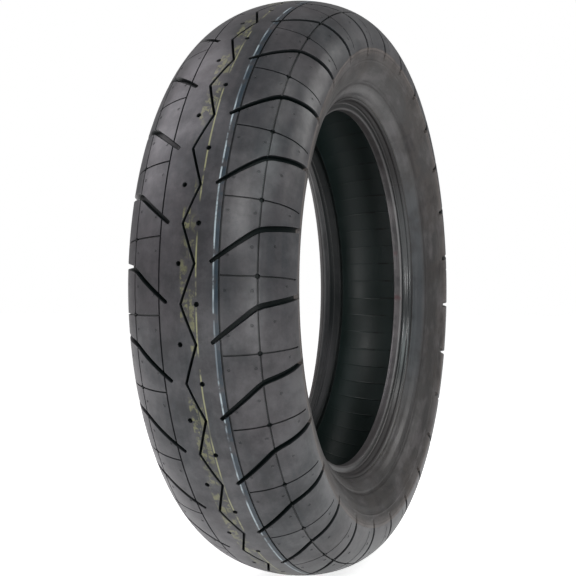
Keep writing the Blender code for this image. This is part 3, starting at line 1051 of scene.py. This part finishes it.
def cord_material(name, lean):
    """Rubbered nylon cord: fine parallel cords that lean across the tyre."""
    mix = Paint(name, (0.42, 0.33, 0.22))
    around = mix.times(mix.turn(), CORDS_PER_METRE * CROWN_RADIUS)
    slant = mix.math("ADD", around, mix.times(mix.across, CORDS_PER_METRE * lean))
    cords = mix.math("SINE", mix.times(slant, 2 * pi))
    mix.blend(mix.ramp(cords, -0.6, 0.4), (0.1, 0.08, 0.06), (0.46, 0.37, 0.25))
    mix.coats((mix.noise(25, 3), (0.4, 0.7), (0, 0.5), (0.16, 0.12, 0.09)))
    return mix.done(0.8, mix.bump(cords, 0.0002, 0.6))


def wire_material():
    """Brassy steel wire."""
    mix = Paint("bead_wire", (0.55, 0.42, 0.25))
    wide = mix.noise(120, 3)
    mix.blend(mix.ramp(wide, 0.35, 0.7), (0.62, 0.43, 0.24), (0.45, 0.36, 0.26))
    return mix.done(mix.ramp(wide, *WIDE_PATCHES, 0.28, 0.42), metallic=1)


# ---------------- pieces

def stepped_turns(start, count, steps):
    """Turns round the tyre with the same steps, each (aside, value), in each of its laps."""
    asides, values = np.array(steps).T
    laps = start + np.arange(count) * (2 * pi / count)
    return (laps[:, None] + asides).ravel(), np.tile(values, count)


# Across a rib of the liner: (share of its width aside, share of its height)
RIB_STEPS = ((-0.9, 0.0), (-0.5, 0.0), (-0.2, 1.0), (0.2, 1.0), (0.5, 0.0), (0.9, 0.0))
LINER_FADE = 14
LINER_FADE_START = 0.4


def make_liner(material):
    """The liner, with a faint hollow line across it at each rib of the mould's bladder."""
    top = -PLY / 2 - GAP
    end = BEAD_INSIDE - 0.03
    inner = whole_level(top - LINER, end)
    outline = whole_level(top, end)[::2] + inner[::-1]
    count = len(inner)
    width = LINER_RIB_WIDTH / inner[count // 2][1]
    steps = [(share * width, height) for share, height in RIB_STEPS]
    turns, heights = stepped_turns(0.0, LINER_RIBS, steps)
    from_end = np.minimum(np.arange(count), np.arange(count)[::-1])
    fade = np.clip(from_end / LINER_FADE - LINER_FADE_START, 0, 1)
    lift = np.zeros((len(turns), len(outline)))
    lift[:, -count:] = heights[:, None] * fade * LINER_RIB_HEIGHT
    dressed(ring("airtight_liner", outline, turns, lift), material, "liner_rubber", "inner_liner")


def make_plies():
    outer = cord_material("outer_ply_cord", 0.6)
    inner = cord_material("inner_ply_cord", -0.6)
    turns = even_turns(HIDDEN_TURNS)
    for name, low, thick, end, material, stands_for in (
        ("carcass_cords_outer", PLY_OUTER, PLY, SIDEWALL_LOW, outer, "carcass_ply_outer"),
        ("carcass_cords_inner", -PLY / 2, PLY, PLY_END, inner, "carcass_ply_inner"),
        ("breaker_cords_outer", BREAKER_OUTER, BREAKER, BREAKER_OUTER_END, inner, "breaker_outer"),
        ("breaker_cords_inner", BREAKER_INNER, BREAKER, BREAKER_INNER_END, outer, "breaker_inner"),
    ):
        outline = whole_layer(low, low + thick, end)
        dressed(ring(name, outline, turns), material, "ply_cord", stands_for)


def make_inner_rubber(material):
    turns = even_turns(HIDDEN_TURNS)
    base = whole_layer(BASE, BASE + TREAD_BASE, BASE_END)
    dressed(ring("tread_base_layer", base, turns), material, "inner_rubber", "tread_base")
    cushion = layer(BREAKER_INNER, BASE - GAP, CUSHION_START, BASE_END)
    pair("edge_cushion", cushion, turns, material, "inner_rubber", "breaker_edge_cushion")
    start = BASE_END + 0.02
    wing = [spot(CAP - GAP, start), spot(CAP_AT_EDGE - GAP, SHOULDER)]
    wing += level(UNDER_SIDEWALL, start, SHOULDER)[::-1]
    pair("wing_strip", wing, turns, material, "inner_rubber", "tread_wing")


# Shares down the sidewall's face at which its section is drawn
FACE_SHARES = (0.0, 0.004, 0.012, *np.linspace(0.03, 0.985, 45), 0.995)
SIDEWALL_TOP_INSET = 0.0005
SIDEWALL_FOOT_INSET = 0.0005
# Ridges and hollows: (distance from the edge, width, height)
SIDEWALL_RIDGES = (
    (0.0145, 0.002, 0.0003),
    (0.027, 0.022, 0.0007),
    (0.0409, 0.0062, -0.0009),
    (0.0512, 0.017, 0.0011),
    (0.0621, 0.005, -0.0004),
)
BEAD_RIDGES = (
    (0.0125, 0.0012, -0.0002),
    (0.019, 0.002, 0.0003),
    (0.0262, 0.004, -0.0004),
    (0.0345, 0.006, 0.0007),
    (0.0402, 0.004, -0.0004),
)
SIDEWALL_STEP = 0.0012
BEAD_STEP = 0.0006
NOTCH_LENGTH = 0.0095
NOTCH_TOP_DEPTH = 0.74 * GROOVE_DEPTH
NOTCH_HALF_WIDTH = 0.0034
NOTCH_EASE = 0.7


def sidewall_profile():
    """The sidewall's section: its face from the shoulder to the rim line, then its inside."""
    corner = spot(UNDER_SIDEWALL, SHOULDER)
    top = sidewall_point(0)[1] - GAP
    face = [sidewall_point(share) for share in FACE_SHARES]
    face[0] = (face[0][0] - SIDEWALL_TOP_INSET, top)
    lining = level(UNDER_SIDEWALL, SHOULDER, SIDEWALL_LOW)[1:]
    lower, upper = offset(bead_outline(), CHAFER)[-2:]
    share = SIDEWALL_FOOT_INSET / hypot(upper[0] - lower[0], upper[1] - lower[1])
    inside = [(corner[0], top)] + lining + [upper, between(lower, upper, share)]
    return face, inside


def notch_turns(start):
    """Turns round the tyre, close together at the walls of each notch, and how far in each is."""
    half = NOTCH_HALF_WIDTH / CROWN_RADIUS
    wall = WALL / CROWN_RADIUS
    steps = [(-half, 0.0), (wall - half, 1.0), (0.0, 1.0), (half - wall, 1.0), (half, 0.0)]
    steps += [(aside, 0.0) for aside in np.linspace(half, PITCH - half, TILE_STEPS)[1:-1]]
    return stepped_turns(start, PITCHES, steps)


def make_sidewalls(material):
    """Each sidewall, with the tread's grooves running out over its upper edge."""
    face, inside = sidewall_profile()
    face = embossed(face, SIDEWALL_RIDGES, SIDEWALL_STEP)
    run_out = np.clip(1 - lengths_along(face) / NOTCH_LENGTH, 0, 1) ** NOTCH_EASE
    outline = np.array(face + inside[::-1])
    drop = np.concatenate([run_out * NOTCH_TOP_DEPTH, np.zeros(len(inside))])
    lag = float(np.interp(TREAD_EDGE, [GROOVE_KINK, GROOVE_END], GROOVE_LAGS[1:]))
    for side, word, ahead in ((1, "left", lag), (-1, "right", lag + 0.5)):
        turns, deep = notch_turns(PATTERN_TURN + ahead * PITCH)
        rows = np.repeat(outline[None], len(turns), axis=0)
        rows[..., 0] = side * (rows[..., 0] - deep[:, None] * drop)
        if (area_of(outline) > 0) != (side > 0):
            rows = rows[:, ::-1]
        faces = ring_faces(len(turns), len(outline))
        skin = new_object("sidewall_skin_" + word, turned(rows, turns), faces)
        dressed(skin, material, "sidewall_rubber", "sidewall_" + word)


BEAD_CORNER = 0.0027
CHAFER_INNER_CORNER = 0.0006
FILLER_INSET = 0.15
BUNDLE_COLUMNS = 3
BUNDLE_ROWS = 4
HOOP_SHARE = 0.49
HOOP_SIDES = 8
HOOP_SHARP = radians(60)


def make_beads(seat, filler_rubber, wire):
    """The chafers with their ridges, and inside them the flippers, bundles and fillers."""
    outer = rounded(bead_outline()[:-1], BEAD_CORNER)
    far = lengths_along(outer)[-1]
    ridges = [(far - place, width, height) for place, width, height in BEAD_RIDGES]
    outer = embossed(outer[::-1], ridges, BEAD_STEP)[::-1]
    inner = rounded(offset(bead_outline(), CHAFER)[:-1], CHAFER_INNER_CORNER)
    pair("bead_chafer", outer + inner[::-1], even_turns(TURNS), seat, "bead_rubber", "chafer")

    hidden = even_turns(HIDDEN_TURNS)
    cloth = cord_material("flipper_cloth", 1.0)
    wrap = PLY / 2 + GAP
    flipper = layer(wrap, wrap + FLIPPER, FILLER_SIDE, TURN_UP)
    pair("flipper_strip", flipper, hidden, cloth, "ply_cord", "bead_flipper")

    room = wrap + FLIPPER + GAP
    left, right = spot(room, BEAD_INSIDE)[0], spot(room, FLANGE)[0]
    low = spot(room, HEEL)[1]
    high = low + BUNDLE_HEIGHT
    make_bundles(left, right, low, high, hidden, wire)
    filler = [(left, high + GAP), (right, high + GAP)]
    filler += level(room, FLANGE, TURN_UP)
    filler += [spot(wrap, PLY_END - FILLER_INSET), spot(wrap, SIDEWALL_LOW + FILLER_INSET)]
    filler += level(room, FILLER_SIDE, BEAD_INSIDE)
    pair("apex_filler", filler, hidden, filler_rubber, "inner_rubber", "bead_filler")


def make_bundles(left, right, low, high, turns, wire):
    """Each bead's wires, as separate hoops laid side by side in rows."""
    across, up = (right - left) / BUNDLE_COLUMNS, (high - low) / BUNDLE_ROWS
    radius = HOOP_SHARE * min(across, up)
    hoop = ring_faces(len(turns), HOOP_SIDES)
    places = [(i + 0.5, j + 0.5) for i in range(BUNDLE_COLUMNS) for j in range(BUNDLE_ROWS)]
    faces = np.concatenate([hoop + i * len(hoop) for i in range(len(places))])
    for side, name in ((1, "left"), (-1, "right")):
        centres = [(side * (left + across * i), low + up * j) for i, j in places]
        hoops = [ring_points(circle(centre, radius, HOOP_SIDES), turns) for centre in centres]
        bundle = new_object("bead_hoops_" + name, np.concatenate(hoops), faces, HOOP_SHARP)
        dressed(bundle, wire, "bead_wire", "bead_wires_" + name)


# ---------------- stage

FLOOR_SIZE = 40.0
FLOOR_COLOUR = (0.9, 0.9, 0.9)
WHITE = (1.0, 1.0, 1.0)
# Strengths of the floor's and the room's light: as it reaches the tyre, and as the camera sees it
FLOOR_GLOW = (0.48, 0.78)
ROOM_LIGHT = (0.3, 1.0)
LAMP_DISTANCE = 2.2
# Softboxes: (name, degrees from the way forward, degrees up, size, power, colour)
LAMPS = (
    ("key_light", 18, 28, 0.45, 9, (1, 1, 1)),
    ("front_light", 50, 34, 0.8, 6, (0.89, 1, 1)),
    ("left_light", -72, 42, 2, 27, (1, 0.94, 1)),
    ("side_light", 125, 30, 1, 7.5, (1, 0.99, 0.97)),
    ("edge_light", 95, 28, 0.45, 2.5, (1, 0.99, 0.97)),
    ("high_light", 72, 58, 0.7, 4.5, (1, 0.99, 0.98)),
    ("low_light", 35, -5, 0.4, 8, (1, 1, 1)),
)


def make_floor():
    """A pale floor under the tyre, which glows a little."""
    low = CAD_BOUNDS[0][2]
    half = FLOOR_SIZE / 2
    corners = [(-half, -half, low), (half, -half, low), (half, half, low), (-half, half, low)]
    mesh = bpy.data.meshes.new("floor")
    mesh.from_pydata(corners, [], [(0, 1, 2, 3)])
    mix = Paint("pale_floor", FLOOR_COLOUR)
    mix.colour = FLOOR_COLOUR
    glow = {"Emission Color": WHITE, "Emission Strength": mix.by_ray(*FLOOR_GLOW)}
    mix.plug(mix.shader, glow)
    mesh.materials.append(mix.done(1, specular=0))
    floor = placed("floor", mesh)


def make_camera():
    azimuth, elevation = CAMERA_AZIMUTH, CAMERA_ELEVATION
    back = Vector((sin(azimuth) * cos(elevation), -cos(azimuth) * cos(elevation), sin(elevation)))
    right = Vector((cos(azimuth), sin(azimuth), 0))
    up = back.cross(right)
    camera = placed("camera", bpy.data.cameras.new("camera"))
    camera.data.lens = CAMERA_LENS
    camera.data.clip_start = 0.01
    turn = Matrix((right, up, back)).transposed().to_4x4()
    camera.matrix_world = Matrix.Translation(back * CAMERA_DISTANCE + right * CAMERA_ASIDE) @ turn
    bpy.context.scene.camera = camera


def make_lights():
    """Square softboxes that face the tyre's centre, in a pale room."""
    for name, degrees, degrees_up, size, power, colour in LAMPS:
        lamp = bpy.data.lights.new(name, "AREA")
        lamp.size = size
        lamp.energy = power
        lamp.color = colour
        turn, height = radians(degrees), radians(degrees_up)
        away = Vector((cos(turn) * cos(height), sin(turn) * cos(height), sin(height)))
        obj = placed(name, lamp)
        obj.location = away * LAMP_DISTANCE
        obj.rotation_euler = (-away * LAMP_DISTANCE).to_track_quat("-Z", "Y").to_euler()
    world = bpy.data.worlds.new("studio")
    bpy.context.scene.world = world
    world.use_nodes = True
    room = Nodes(world.node_tree)
    sockets = {"Color": WHITE, "Strength": room.by_ray(*ROOM_LIGHT)}
    room.plug(room.tree.nodes["Background"], sockets)
    bpy.context.scene.view_settings.view_transform = "Standard"


make_camera()
make_lights()
make_floor()
inner_rubber = inner_material()
make_tread(tread_material())
make_sidewalls(sidewall_material())
make_beads(bead_material(), inner_rubber, wire_material())
make_liner(liner_material())
make_plies()
make_inner_rubber(inner_rubber)
